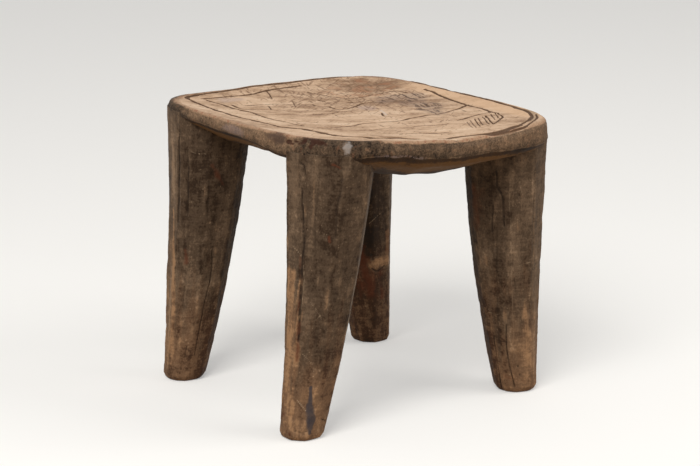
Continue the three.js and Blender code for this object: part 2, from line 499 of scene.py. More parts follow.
# Points of a leg's shell round it and along it, and the worn edge of its sole
LEG_COLUMNS = 216
LEG_ROWS = 210
SOLE_LEVELS = (-3, -2, -1, 0)
SOLE_HEIGHTS = (0, 0, 1.5, 6)
SOLE_SHARES = (0, 0.8, 0.92, 1)
SOLE_CUTS = 6

# A leg's hewn corners: how near they come to those of a true polygon, how much further out they lie
# than the flats, and over how many degrees they are rounded
CORNER_SHARPNESS = 0.7
CORNER_REACH = 1.0577
CORNER_ROUNDING = 3

# The upper part of a leg follows the rim's outline, a little inside it, and is let into the seat
FLUSH_REACH = 0.9988
FOLLOWS_RIM_FROM = 110
FLUSH_FROM = 250
LET_INTO_SEAT = 2

# Radius at which the tool marks round a leg are laid out, and how far apart the legs lie in the noise
# of their shapes and in the patterns of their finish, so that no two are alike
MARKED_RADIUS = 36
LEG_SHIFT = 97.0
PATTERN_SHIFT = 300.0

# How far out the ring of a leg's cap lies, as a share of the leg's width
CAP_SHARE = 0.6

# Soft lamps: where they stand, how wide they are, and the point that they shine at
KEY_PLACE = (-2.4, -1.5, 2.9)
FILL_PLACE = (2.1, -2.1, 2.1)
LAMP_WIDTH = 2.2
LAMP_AIM = (0, 0, 0.2)

# Half the side of the floor, in metres
FLOOR_REACH = 9

# How many random numbers the noise has along each side before it repeats, and how far from its
# middle a tool mark ends, squared, where the next mark is 1 away
NOISE_CELLS = 32
MARK_END = 0.6


def colour(name, description, red, green, blue):
    """A colour property, with its default as a screen shows it."""
    return FloatVectorProperty(
        name=name,
        description=description,
        default=(red / 255, green / 255, blue / 255),
        min=0,
        max=1,
        size=3,
        subtype="COLOR_GAMMA",
    )


def length(name, description, millimetres):
    """A size property."""
    return FloatProperty(
        name=name, description=description, default=millimetres * MM, min=0, unit="LENGTH"
    )


class StoolShape(bpy.types.PropertyGroup):
    """Sizes of the stool"""

    seat_width: length("Seat width", "Across the seat", (SEAT_BOX[1].x - SEAT_BOX[0].x) / MM)
    seat_length: length("Seat length", "Along the seat", (SEAT_BOX[1].y - SEAT_BOX[0].y) / MM)
    seat_height: length("Seat height", "Top of the seat above the floor, before it was dished", 320)
    line_depth: length("Line depth", "Depth of the deepest incised line", 2)
    seat_waves: length("Seat waves", "How uneven the top is", 0.6)
    scrape_depth: length("Scrape depth", "Depth of the scraped marks on the top", 0.45)
    seat_tooling: length("Seat tooling", "Depth of the tool marks under the seat", 1.2)
    rim_wear: length("Rim wear", "How far the rim is worn round over the legs", 0.4)
    leg_tooling: length("Leg tooling", "Depth of the tool marks on the legs", 0.6)
    crack_depth: length("Crack depth", "Depth of the deepest crack in a leg", 2)
    chip_depth: length("Chip depth", "Depth of the chips along worn edges", 2.2)


class StoolColours(bpy.types.PropertyGroup):
    """Colours of the stool"""

    bare: colour("Bare wood", "Worn wood of the seat's top", 198, 167, 138)
    bare_shade: colour("Bare wood, shaded", "Darker fields of the top", 178, 147, 119)
    bare_light: colour("Bare wood, light", "Scraped streaks of the top", 214, 187, 159)
    streak: colour("Streak", "Soft dark streaks of the top", 148, 118, 92)
    dash: colour("Dash", "Short dark marks of the top", 112, 84, 62)
    weathered: colour("Weathered", "Grey wood of the front right corner", 146, 124, 99)
    line: colour("Incised line", "Dirt in the incised lines", 78, 54, 36)
    rough: colour("Rough patch", "Weathered patch of the top", 120, 99, 86)
    split: colour("Split", "Deepest splits of the rough patch", 68, 52, 44)
    orange: colour("Orange band", "Smooth band along the right side", 206, 170, 136)
    reddish: colour("Reddish marks", "Reddish marks of the top", 178, 124, 90)
    # Lilac-grey: the colour of patches on the top, and on the rim a painted highlight and a painted sheen
    lilac: colour("Lilac marks", "Lilac-grey marks of the top and the rim", 156, 138, 134)
    rim: colour("Worn rim", "Worn edge of the seat", 160, 128, 101)
    rim_red: colour("Rim specks", "Red specks of the worn edge", 128, 78, 54)
    side: colour("Side", "Grey-brown side of the seat", 106, 85, 66)
    # The side's lightest shade, which also stands for painted light on the left side
    side_left: colour("Side, left", "Lighter side of the seat on the left", 136, 110, 86)
    # The side's rubbed lip, which is also a painted highlight along its lower edge
    side_light: colour("Side, rubbed", "Rubbed specks of the side", 146, 124, 102)
    # The underside's colour is painted shade under the seat
    under: colour("Underside", "Underside of the seat", 54, 36, 20)
    facet: colour("Facet", "Bevel just under the side", 94, 67, 38)
    scar: colour("Scar", "Pale scar in the front left corner", 196, 186, 178)
    chip: colour("Chip", "Dark red-brown broken wood", 56, 32, 22)
    # The three leg patinas are painted light and shade: outer on the sides facing out, inner on the sides
    # facing in under the seat, middle between
    outer: colour("Outer patina", "Legs on their outward sides", 98, 80, 63)
    middle: colour("Middle patina", "Legs between their outward and inward sides", 74, 59, 45)
    inner: colour("Inner patina", "Legs on their inward sides", 46, 32, 20)
    deep: colour("Deep patina", "Dark patch of the rim", 70, 54, 46)
    rubbed: colour("Rubbed", "Rubbed wood of the legs", 134, 112, 90)
    fleck: colour("Fleck", "Pale flecks and scratches", 168, 146, 120)
    # The warm shades of the foot: partly worn wood, partly painted warm light from the floor
    warm: colour("Warm", "Warmer lower part of the legs", 114, 86, 63)
    warm_dark: colour("Warm, dark", "Dark marks of the lower part of the legs", 64, 42, 28)
    leg_bare: colour("Bare leg", "Places where the legs are worn to the wood", 156, 121, 88)
    leg_red: colour("Red wood", "Reddish wood of the legs", 88, 46, 28)
    crack: colour("Crack", "Depth of the cracks", 32, 22, 14)
    stain: colour("Stain", "Blue-black stain", 50, 50, 56)


class StoolStage(bpy.types.PropertyGroup):
    """Camera, floor and light"""

    camera_place: FloatVectorProperty(
        name="Camera",
        description="Where the camera stands",
        default=(-1.34044, -1.86111, 0.73064),
        size=3,
        subtype="TRANSLATION",
        unit="LENGTH",
    )
    camera_look: FloatVectorProperty(
        name="View direction",
        description="Which way the camera looks",
        default=(0.56767, 0.78929, -0.23405),
        size=3,
        subtype="DIRECTION",
    )
    camera_lens: FloatProperty(
        name="Lens", description="Focal length in millimetres", default=107.61, min=1
    )
    floor: colour("Floor", "Floor as the camera sees it", 214, 211, 205)
    floor_bounce: colour("Floor, by its light", "Floor that lights the stool from below", 196, 174, 150)
    glow: FloatProperty(
        name="Glow", description="How much whiter the camera sees the floor", default=0.29, min=0
    )
    sky: FloatProperty(name="Sky", description="Even light from all round", default=0.42, min=0)
    lamp: FloatProperty(
        name="Lamp", description="Power of the large soft lamp", default=118, min=0, subtype="POWER"
    )
    fill: FloatProperty(
        name="Fill", description="Power of the second soft lamp", default=42, min=0, subtype="POWER"
    )


# Numbers over points


def smoothstep(value, low, high):
    """0 at low and 1 at high, with a smooth change between. Low may be the higher."""
    part = np.clip((value - low) / (high - low), 0, 1)
    return part * part * (3 - 2 * part)


def uneven(points, size, seed):
    """Smooth random values from -1 to 1 at points, with bumps of about the given size."""
    table = np.random.default_rng(seed).uniform(-1, 1, (NOISE_CELLS,) * 3)
    place = points / np.array(size, float)
    corner = np.floor(place).astype(int)
    part = place - corner
    part = part * part * (3 - 2 * part)
    total = np.zeros(len(points))
    for step in np.ndindex(2, 2, 2):
        weight = np.prod(np.where(step, part, 1 - part), axis=1)
        x, y, z = ((corner + step) % NOISE_CELLS).T
        total += weight * table[x, y, z]
    return total


def scoops(across, along, width, run, seed):
    """Overlapping tool marks of that width and run: 0 in the middle of a mark, 1 on its edges."""
    jitter = np.random.default_rng(seed).uniform(0, 1, (NOISE_CELLS, NOISE_CELLS, 2))
    place = np.stack([across / width, along / run], axis=1)
    cell = np.floor(place).astype(int)
    nearest = np.full(len(place), np.inf)
    for step in np.ndindex(3, 3):
        tried = cell + np.array(step) - 1
        x, y = (tried % NOISE_CELLS).T
        nearest = np.minimum(nearest, np.sum((place - tried - jitter[x, y]) ** 2, axis=1))
    return np.clip(nearest / MARK_END, 0, 1)


def flowing(corners, steps=4):
    """Close points on a smooth curve through the given corners."""
    corners = np.array(corners, float)
    if len(corners) < 3:
        return corners
    before = np.vstack([2 * corners[0] - corners[1], corners[:-2]])
    after = np.vstack([corners[2:], 2 * corners[-1] - corners[-2]])
    share = np.arange(steps)[:, None, None] / steps
    start, end = corners[:-1], corners[1:]
    leave, arrive = (end - before) / 2, (after - start) / 2
    curve = (
        start
        + leave * share
        + (3 * (end - start) - 2 * leave - arrive) * share**2
        + (2 * (start - end) + leave + arrive) * share**3
    )
    return np.vstack([curve.transpose(1, 0, 2).reshape(-1, 2), corners[-1:]])


def gap_to(points, line):
    """Distance of each point to a line through corners."""
    nearest = np.full(len(points), np.inf)
    for start, end in zip(line[:-1], line[1:]):
        run = end - start
        share = np.clip((points - start) @ run / (run @ run), 0, 1)
        gap = points - start - share[:, None] * run
        nearest = np.minimum(nearest, np.hypot(gap[:, 0], gap[:, 1]))
    return nearest


def strokes(points, lines, frayed):
    """How deep points lie in lines of a width, a strength and corners. frayed scales the widths."""
    deepest = np.zeros(len(points))
    for width, strength, corners in lines:
        near = 1 - gap_to(points, flowing(corners)) / (width / 2 * frayed)
        deepest = np.maximum(deepest, smoothstep(near, 0, 0.6) * strength)
    return deepest


def inside(points, centre, reach):
    """1 in the middle of a rounded patch, and 0 outside its reach."""
    away = np.linalg.norm((points - np.array(centre)) / np.array(reach), axis=1)
    return smoothstep(1 - away, 0, 0.5)


# Meshes


def to_piece(shell, name):
    """Makes an object of a closed shell whose faces point outwards."""
    bmesh.ops.recalc_face_normals(shell, faces=shell.faces)
    mesh = bpy.data.meshes.new(name)
    shell.to_mesh(mesh)
    shell.free()
    mesh.shade_smooth()
    piece = bpy.data.objects.new(name, mesh)
    bpy.context.scene.collection.objects.link(piece)
    return piece


def points_of(mesh):
    """The places of a mesh's points."""
    flat = np.empty(len(mesh.vertices) * 3, np.float32)
    mesh.vertices.foreach_get("co", flat)
    return flat.reshape(-1, 3).astype(float)


def normals_of(mesh):
    """Which way a mesh faces at each of its points."""
    flat = np.empty(len(mesh.vertices) * 3, np.float32)
    mesh.vertex_normals.foreach_get("vector", flat)
    return flat.reshape(-1, 3).astype(float)


def move_points(mesh, points):
    """Puts a mesh's points where points in millimetres say, but never outside the CAD's box."""
    low, high = (np.array(corner) / MM for corner in CAD_BOX)
    kept = np.clip(points, low, high) * MM
    mesh.vertices.foreach_set("co", kept.astype(np.float32).ravel())
    mesh.update()


def note(mesh, name, values):
    """Keeps a number, or three, for each point of a mesh, for its finish to read."""
    single = values.ndim == 1
    attribute = mesh.attributes.new(name, "FLOAT" if single else "FLOAT_VECTOR", "POINT")
    kept = values.astype(np.float32).ravel()
    attribute.data.foreach_set("value" if single else "vector", kept)


def dress(piece, node, finish):
    """Gives a piece its finish, and lets it stand for its CAD node."""
    piece.data.materials.append(finish)
    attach(piece, "root")
    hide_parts(node)


# Shape of the seat


def section_table():
    """Close rows along the seat's section: distance, share, height, from the edge, and swing."""
    rows = np.array(SEAT_SECTION, float)
    outward = rows[:, 0] * SECTION_RADIUS
    upward = rows[:, 1] - rows[:, 2] * SECTION_FACE
    distance = np.concatenate([[0], np.cumsum(np.hypot(np.diff(outward), np.diff(upward)))])
    close = np.arange(0, distance[-1], SECTION_STEP)
    kernel = np.full(SECTION_SOFTNESS, 1 / SECTION_SOFTNESS)
    softened = [close]
    for column in rows.T:
        padded = np.pad(np.interp(close, distance, column), SECTION_SOFTNESS // 2, mode="edge")
        softened.append(np.convolve(padded, kernel, "valid"))
    return np.array(softened), distance[UPPER_EDGE_ROW]


SECTION, UPPER_EDGE = section_table()
WIDEST = int(np.argmax(SECTION[1]))


def distance_on_top(share):
    """How far along the section a share of the way out lies, on the top."""
    return np.interp(share, SECTION[1][:WIDEST:-1], SECTION[0][:WIDEST:-1])


def distance_below(share):
    """How far along the section a share of the way out lies, on the underside."""
    return np.interp(share, SECTION[1][:WIDEST], SECTION[0][:WIDEST])


def ring_distances():
    """How far along the section each ring of the seat's shell lies, from the top's edge inwards."""
    stops = [float(distance_on_top(RING_RUNS[0][0]))]
    stops += [float(distance_below(share)) for share, _ in RING_RUNS[1:]]
    stops.append(0.0)
    rings = [stops[0]]
    for start, end, (_, spacing) in zip(stops[:-1], stops[1:], RING_RUNS):
        count = math.ceil((start - end) / spacing)
        rings += [start + (end - start) * (step + 1) / count for step in range(count)]
    return np.array(rings)


RING_DISTANCES = ring_distances()


def round_the_rim(column, angle):
    """The rim's height or face at an angle, on a smooth curve through its stations."""
    stations = np.array(RIM_STATIONS, float)
    degrees = np.degrees(angle) % 360
    after = np.searchsorted(stations[:, 0], degrees, side="right")
    after = np.minimum(after, len(stations) - 1)
    start, end = stations[after - 1], stations[after]
    share = smoothstep(degrees, start[:, 0], end[:, 0])
    return start[:, column] + (end[:, column] - start[:, column]) * share


def reach_towards(across, along):
    """Length of a vector in the seat's own measure, in which its outline is at 1 all round."""
    back_right, back_left, front_left, front_right = CORNER_SQUARENESS
    power = np.where(
        along >= 0,
        np.where(across >= 0, back_right, back_left),
        np.where(across >= 0, front_right, front_left),
    )
    return (np.abs(across) ** power + np.abs(along) ** power) ** (1 / power)


class SeatForm:
    """The seat's form before any tool mark, for the sizes in a StoolShape."""

    def __init__(self, shape):
        self.centre = np.array([(SEAT_BOX[0].x + SEAT_BOX[1].x) / 2, 0]) / MM
        self.half = np.array([shape.seat_width, shape.seat_length]) / MM / 2
        self.middle = shape.seat_height / MM

    def heights(self, distance, share, angle):
        """Height of the form at a distance along its section, and of the side face's two edges."""
        height, from_edge, swing = (np.interp(distance, SECTION[0], row) for row in SECTION[2:])
        rim = self.middle + (round_the_rim(HEIGHT_COLUMN, angle) - self.middle) * share**2
        lower_edge = rim - round_the_rim(FACE_COLUMN, angle)
        base = rim + (lower_edge - rim) * from_edge
        turn = np.sin(angle) ** 2 - np.cos(angle) ** 2
        return base + height - swing * turn, rim, lower_edge

    def place(self, across, along, distance):
        """Points of the form in a direction, at a distance along its section."""
        share = np.interp(distance, SECTION[0], SECTION[1])
        share = np.where(np.hypot(across, along) > 0, share, 0)
        outline = share / np.maximum(reach_towards(across, along), 1e-9)
        angle = np.arctan2(along, across)
        height, rim, lower_edge = self.heights(distance, share, angle)
        flat = self.centre + self.half * np.stack([across * outline, along * outline], axis=1)
        return np.column_stack([flat, height]), rim - height, height - lower_edge

    def underside(self, flat):
        """Height of the underside over points of the plan."""
        across, along = ((flat - self.centre) / self.half).T
        share = np.minimum(reach_towards(across, along), 1)
        angle = np.arctan2(along, across)
        return self.heights(distance_below(share), share, angle)[0]


def seat_shell():
    """A square grid for the top, and rings that hang from it, which are numbered by their depth."""
    shell = bmesh.new()
    bmesh.ops.create_grid(shell, x_segments=TOP_COLUMNS, y_segments=TOP_ROWS, size=1)
    edges = [edge for edge in shell.edges if edge.is_boundary]
    for _ in RING_DISTANCES[1:]:
        made = bmesh.ops.extrude_edge_only(shell, edges=edges)["geom"]
        corners = [part for part in made if isinstance(part, bmesh.types.BMVert)]
        edges = [part for part in made if isinstance(part, bmesh.types.BMEdge) and part.is_boundary]
        bmesh.ops.translate(shell, verts=corners, vec=(0, 0, -1))
    middle = (0, 0, 1 - len(RING_DISTANCES))
    bmesh.ops.pointmerge(shell, verts=corners, merge_co=middle)
    return shell


def seat_directions(corners):
    """The direction and the distance along the section that each point of the shell stands for."""
    across, along, depth = corners.T
    reach = np.maximum(np.abs(across), np.abs(along))
    on_top = distance_on_top(TOP_SHARE * np.minimum(reach, 1))
    in_rings = np.interp(-depth, np.arange(len(RING_DISTANCES)), RING_DISTANCES)
    distance = np.where(depth < 0, in_rings, on_top)
    safe = np.maximum(reach, 1e-9)
    return across / safe, along / safe, distance


def near_marks(form, corners, reach, weakest):
    """Picks the shell's points within reach of a line that is deep enough, or in the rough patch."""
    place = form.place(*seat_directions(corners))[0]
    on_top = corners[:, 2] > -RINGS_WITH_LINES
    flat = place[on_top, :2]
    found = gap_to(flat, flowing(ROUGH_PATCH)) < ROUGH_REACH * (weakest == 0)
    for width, strength, line in SEAT_LINES:
        if strength >= weakest:
            found |= gap_to(flat, flowing(line)) < width / 2 + reach
    near = np.zeros(len(corners), bool)
    near[on_top] = found
    return near


def refine(shell, form):
    """Halves the shell's edges near the marks of the top, twice near the deeper ones."""
    for reach, weakest in FINER_STEPS:
        shell.verts.index_update()
        corners = np.array([corner.co for corner in shell.verts])
        chosen = near_marks(form, corners, reach, weakest)
        edges = [edge for edge in shell.edges if any(chosen[end.index] for end in edge.verts)]
        bmesh.ops.subdivide_edges(shell, edges=edges, cuts=1, use_grid_fill=True)
    odd = [face for face in shell.faces if len(face.verts) > 4]
    bmesh.ops.triangulate(shell, faces=odd)


def over_legs(place):
    """1 where the rim stands over a leg, and 0 between the legs."""
    over = np.zeros(len(place))
    for leg in LEGS.values():
        aside = np.abs(place[:, :2] - np.array(leg["top"][:2])).max(axis=1)
        over = np.maximum(over, smoothstep(aside, *OVER_LEG))
    return over


def along_grain(place):
    """Points turned so that their first direction runs along the scraped marks of the top."""
    cosine, sine = math.cos(GRAIN_ANGLE), math.sin(GRAIN_ANGLE)
    return place @ np.array([[cosine, -sine, 0], [sine, cosine, 0], [0, 0, 1]])


def top_marks(place, on_top):
    """How deep points of the seat lie in its lines, in its rough patch and in the patch's splits."""
    wander = np.column_stack([uneven(place, 14, seed=3), uneven(place, 14, seed=4)])
    drawn = place[:, :2] + wander * LINE_WANDER
    frayed = 1 + 0.2 * uneven(place, 6, seed=5)
    patch = 1 - gap_to(drawn, flowing(ROUGH_PATCH)) / ROUGH_REACH
    rough = smoothstep(patch + 0.3 * uneven(place, 12, seed=6), 0, 0.6) * on_top
    turned = along_grain(place)
    splits = 0.7 * uneven(turned, (16, 6, 16), seed=7) + 0.35 * uneven(turned, (8, 4, 8), seed=8)
    return {
        "cut": strokes(drawn, SEAT_LINES, frayed) * on_top,
        "pale": strokes(drawn, PALE_LINES, frayed) * on_top,
        "grey": strokes(drawn, GREY_LINES, frayed) * on_top,
        "rough": rough,
        "splits": smoothstep(-splits, 0, 0.5) * rough,
    }


def rim_chips(place):
    """How deep points of the seat lie in the broken places of its rim."""
    coarse = uneven(place, 5, seed=14) * 0.7
    broken = smoothstep(coarse + uneven(place, 2.6, seed=15) * 0.4, -0.3, 0.5)
    return sum(inside(place, centre, reach) for centre, reach in RIM_CHIPS) * broken


def rim_knocks(place, above, distance, on_top, over):
    """How far small knocks go into the upper edge of the rim, and between the legs into the lower."""
    upper = np.exp(-(((distance - UPPER_EDGE) / UPPER_KNOCKS_WIDTH) ** 2))
    lower = np.exp(-((above / LOWER_KNOCKS_WIDTH) ** 2)) * (1 - on_top) * (1 - over)
    small, large = uneven(place, 7, seed=12) * 0.6, uneven(place, 17, seed=13) * 0.6
    return smoothstep(small + large, 0.2, 0.8) * (upper * 0.3 + lower * 0.45)


def seat_relief(place, above, distance, shape):
    """How far the tools and wear took each point of the seat in, and what its finish needs to know."""
    on_top = smoothstep(distance, UPPER_EDGE - 1, UPPER_EDGE + 3)
    inner = smoothstep(distance, UPPER_EDGE, UPPER_EDGE + 24)
    under = smoothstep(-above, 0, 3) * (1 - on_top)
    over = over_legs(place)
    notes = top_marks(place, on_top) | {"chips": rim_chips(place), "over_leg": over}

    # The top: uneven, a little proud along the rim, scraped, split and cut
    turned = along_grain(place)
    scrape = scoops(turned[:, 0], turned[:, 1], *SCRAPED, seed=9)
    waves = 0.6 * uneven(place, 48, seed=16) + 0.4 * uneven(place, 18, seed=17)
    relief = on_top * shape.seat_waves * (waves + 0.7 - 1.3 * inner)
    relief += inner * shape.scrape_depth * (scrape - 1)
    relief -= notes["splits"] * shape.line_depth * 0.6
    relief -= notes["cut"] * shape.line_depth

    # The side, chiselled less deeply where it runs into a leg, and the underside
    seam = 1 - 0.7 * over * smoothstep(above, 10, 2)
    side = (1 - on_top) * (1 - under) * seam
    chiselled = scoops(place[:, 0] - place[:, 1], place[:, 2] * 2, *CHISELLED, seed=11)
    hewn = scoops(place[:, 0] + 31, place[:, 1] + 17, *HEWN_UNDER, seed=10)
    relief += side * shape.seat_tooling * 0.7 * (chiselled - 1)
    relief += side * shape.seat_tooling * 0.3 * (uneven(place, 3.2, seed=18) - 0.4)
    relief += under * shape.seat_tooling * 0.7 * (hewn - 0.5)

    # Wear
    worn = np.exp(-(((distance - UPPER_EDGE + 2) / WORN_WIDTH) ** 2)) * over
    relief -= worn * shape.rim_wear
    relief -= rim_knocks(place, above, distance, on_top, over) * shape.chip_depth
    relief -= notes["chips"] * shape.chip_depth
    return relief / MM, notes


class CarveSeat(bpy.types.Operator):
    """Carve the seat, with its incised lines, worn rim and hewn underside"""

    bl_idname = "stool.carve_seat"
    bl_label = "Carve the seat"
    bl_options = {"REGISTER", "UNDO"}

    def execute(self, context):
        shape = context.scene.stool_shape
        form = SeatForm(shape)
        shell = seat_shell()
        refine(shell, form)

        piece = to_piece(shell, "carved_seat")
        mesh = piece.data
        across, along, distance = seat_directions(points_of(mesh))
        place, drop, above = form.place(across, along, distance)
        move_points(mesh, place)
        relief, notes = seat_relief(place, above, distance, shape)
        move_points(mesh, place + normals_of(mesh) * relief[:, None])

        # How far below the rim a point lies, or inside it where that is below 0, and how high above
        # the lower edge of the side
        inward = UPPER_EDGE - distance
        notes["from_rim"] = np.where(inward < 0, inward, np.maximum(drop, 0))
        notes["above_edge"] = np.where(inward < 0, ABOVE_ON_TOP, above)
        for name, values in notes.items():
            note(mesh, name, values)
        dress(piece, "seat", SeatWood(context.scene.stool_colours).finished())
        return {"FINISHED"}


# Shape of the legs


def leg_shell():
    """A closed tube of radius 1: its sole at levels below 0, its side up to LEG_ROWS, then its top."""
    shell = bmesh.new()
    section = list(zip(SOLE_SHARES, SOLE_LEVELS))
    section += [(1, LEG_ROWS), (CAP_SHARE, LEG_ROWS + 1), (0, LEG_ROWS + 2)]
    corners = [shell.verts.new((share, 0, level)) for share, level in section]
    edges = [shell.edges.new(pair) for pair in zip(corners[:-1], corners[1:])]
    sole_edge, side_edge = edges[0], edges[3]
    bmesh.ops.subdivide_edges(shell, edges=[sole_edge], cuts=SOLE_CUTS)
    bmesh.ops.subdivide_edges(shell, edges=[side_edge], cuts=LEG_ROWS - 1)
    bmesh.ops.spin(
        shell,
        geom=shell.verts[:] + shell.edges[:],
        cent=(0, 0, 0),
        axis=(0, 0, 1),
        angle=2 * math.pi,
        steps=LEG_COLUMNS,
        use_merge=True,
    )
    bmesh.ops.remove_doubles(shell, verts=shell.verts, dist=1e-5)
    return shell


def along_leg(leg, height):
    """Middle line and width of a leg at heights, on a smooth curve through its three places."""
    t = (height / LEG_PATH_TOP)[:, None]
    foot, middle, top = (np.array(leg[name], float) for name in ("foot", "middle", "top"))
    place = foot * (1 - t) * (1 - 2 * t) + middle * 4 * t * (1 - t) + top * t * (2 * t - 1)
    return place[:, :2], place[:, 2]


def corner_angles(leg, height):
    """The angles of a leg's hewn corners at heights, one column for each corner."""
    top, foot = np.radians(np.array(leg["edges"], float)).T
    share = np.clip(height / LEG_PATH_TOP, 0, 1)[:, None]
    return foot + (top - foot) * share


def flat_to(angle, corners):
    """How far in the flat between two corners lies at an angle, and the angle to the nearer one."""
    turn = 2 * math.pi
    ahead = np.min((corners - angle[:, None]) % turn, axis=1)
    behind = np.min((angle[:, None] - corners) % turn, axis=1)
    half = (ahead + behind) / 2
    share = 1 - CORNER_SHARPNESS * (1 - np.cos(half) / np.cos(half - behind))
    return share, np.minimum(ahead, behind)


def leg_side(form, leg, angle, height):
    """Points on the side of a leg at angles and heights, and how near they are to a hewn corner."""
    middle, width = along_leg(leg, height)
    corners = corner_angles(leg, height)
    rounding = np.radians(CORNER_ROUNDING)
    turns = (-rounding, -rounding / 2, 0, rounding / 2, rounding)
    share = sum(flat_to(angle + turn, corners)[0] for turn in turns) / len(turns)
    to_corner = flat_to(angle, corners)[1] * width / 2
    radius = width / 2 * CORNER_REACH * share
    flat = middle + radius[:, None] * np.column_stack([np.cos(angle), np.sin(angle)])
    out = flat - form.centre
    reach = reach_towards(*(out / form.half).T)
    follow = smoothstep(height, FOLLOWS_RIM_FROM, FLUSH_FROM)
    pull = np.where(reach > FLUSH_REACH, 1 + (FLUSH_REACH / reach - 1) * follow, 1)
    return form.centre + out * pull[:, None], middle, to_corner


def leg_place(form, leg, corners):
    """Points of a leg for the points of its shell, their angle, and how near a hewn corner is."""
    angle = np.arctan2(corners[:, 1], corners[:, 0])
    share = np.hypot(corners[:, 0], corners[:, 1])
    level = corners[:, 2]
    column_top = np.full(len(corners), 290.0)
    for _ in range(6):
        column_top = form.underside(leg_side(form, leg, angle, column_top)[0]) + LET_INTO_SEAT
    sole = np.interp(level, SOLE_LEVELS, SOLE_HEIGHTS)
    side = SOLE_HEIGHTS[-1] + (column_top - SOLE_HEIGHTS[-1]) * level / LEG_ROWS
    height = np.where(level < 0, sole, np.minimum(side, column_top))
    outer, middle, to_corner = leg_side(form, leg, angle, height)
    flat = middle + (outer - middle) * share[:, None]
    on_cap = level > LEG_ROWS
    height = np.where(on_cap, form.underside(flat) + LET_INTO_SEAT, height)
    return np.column_stack([flat, height]), angle, middle, to_corner, column_top - height


def unrolled(leg, angle, height, marks, frayed):
    """How strongly points of a leg lie in marks of a width, a strength, and angles and heights."""
    radius = along_leg(leg, height)[1] / 2
    deepest = np.zeros(len(angle))
    for width, strength, corners in marks:
        turns, heights = flowing(corners).T
        turns = np.radians(turns)
        start = turns.mean()
        line = np.column_stack([(turns - start) * along_leg(leg, heights)[1] / 2, heights])
        off = (angle - start + math.pi) % (2 * math.pi) - math.pi
        near = 1 - gap_to(np.column_stack([off * radius, height]), line) / (width / 2 * frayed)
        deepest = np.maximum(deepest, np.clip(near, 0, 1) * strength)
    return deepest


def leg_relief(leg, seed, place, angle, middle, to_corner, below, shape):
    """How far the tools and wear took each point of a leg in, and what its finish needs to know."""
    height = place[:, 2]
    upright = np.column_stack([place[:, :2] - middle, height])
    shifted = upright + seed * LEG_SHIFT
    wander = angle + np.radians(1.5) * uneven(shifted, (12, 12, 16), seed=20)
    level = height + 1.5 * uneven(shifted, 11, seed=21)
    frayed = 1 + 0.45 * uneven(shifted, (5, 5, 8), seed=19)

    notes = {name: unrolled(leg, wander, level, leg[name], frayed) for name in LEG_MARKS}
    notes["upright"] = (upright + np.array([seed * PATTERN_SHIFT, 0, 0])) * MM
    # How far a point faces out of the stool; by it the finish paints light on outward sides and shade on
    # inward ones
    notes["outward"] = np.cos(angle - math.atan2(leg["top"][1], leg["top"][0]))

    # Long hewing marks with shorter ones over them, knocks along the corners, and fibres
    hewn = scoops(angle * MARKED_RADIUS + seed * 11, height, *HEWN_LEG, seed=22 + seed)
    shaved = scoops(angle * MARKED_RADIUS + seed * 7, height, *SHAVED_LEG, seed=32 + seed)
    edge = np.clip(1 - to_corner / 4, 0, 1)
    knocks = uneven(shifted, (8, 8, 13), seed=23) + 0.4 * uneven(shifted, 4, seed=24)
    knocks = smoothstep(knocks, 0.2, 0.9)
    fibres = uneven(shifted, (3, 3, 30), seed=25) + 0.8 * uneven(shifted, (5, 5, 7), seed=26)

    relief = shape.leg_tooling * ((hewn - 0.2) + 0.5 * (shaved - 0.2))
    relief += shape.leg_tooling * (0.2 * fibres + 0.2 * uneven(shifted, 2.4, seed=27))
    relief -= edge * knocks * shape.chip_depth * 0.6
    relief -= notes["crack"] * shape.crack_depth

    # The sole stays flat, and the top stays close to the seat
    relief *= smoothstep(height, 0, 5) * (0.35 + 0.65 * smoothstep(below, 2, 16))
    notes["edge"] = edge * (1 - 0.5 * knocks)
    notes["tooled"] = 0.6 * hewn + 0.4 * shaved
    return relief / MM, notes


class HewLegs(bpy.types.Operator):
    """Hew the four legs, with their flats, cracks and worn feet, up to the underside of the seat"""

    bl_idname = "stool.hew_legs"
    bl_label = "Hew the legs"
    bl_options = {"REGISTER", "UNDO"}

    def execute(self, context):
        shape = context.scene.stool_shape
        form = SeatForm(shape)
        finish = LegWood(context.scene.stool_colours).finished()
        for seed, (node, leg) in enumerate(LEGS.items()):
            piece = to_piece(leg_shell(), "hewn_" + node)
            mesh = piece.data
            corners = points_of(mesh)
            place, angle, middle, to_corner, below = leg_place(form, leg, corners)
            move_points(mesh, place)
            relief, notes = leg_relief(leg, seed, place, angle, middle, to_corner, below, shape)
            move_points(mesh, place + normals_of(mesh) * relief[:, None])
            for name, values in notes.items():
                note(mesh, name, values)
            dress(piece, node, finish)
        return {"FINISHED"}


# Finishes


def linear(display):
    """A colour for a node, from one as a screen shows it."""
    parts = [part / 12.92 if part < 0.04045 else ((part + 0.055) / 1.055) ** 2.4 for part in display]
    return (*parts, 1)


class Value:
    """An output of a node, which can be worked with as a number."""

    def __init__(self, finish, socket):
        self.finish = finish
        self.socket = socket

    def __add__(self, other):
        return self.finish.add("Math", {"operation": "ADD"}, {0: self, 1: other})

    def __sub__(self, other):
        return self.finish.add("Math", {"operation": "SUBTRACT"}, {0: self, 1: other})

    def __mul__(self, other):
        return self.finish.add("Math", {"operation": "MULTIPLY"}, {0: self, 1: other})

    def __radd__(self, other):
        return self.finish.add("Math", {"operation": "ADD"}, {0: other, 1: self})

    def __rsub__(self, other):
        return self.finish.add("Math", {"operation": "SUBTRACT"}, {0: other, 1: self})

    def __rmul__(self, other):
        return self.finish.add("Math", {"operation": "MULTIPLY"}, {0: other, 1: self})


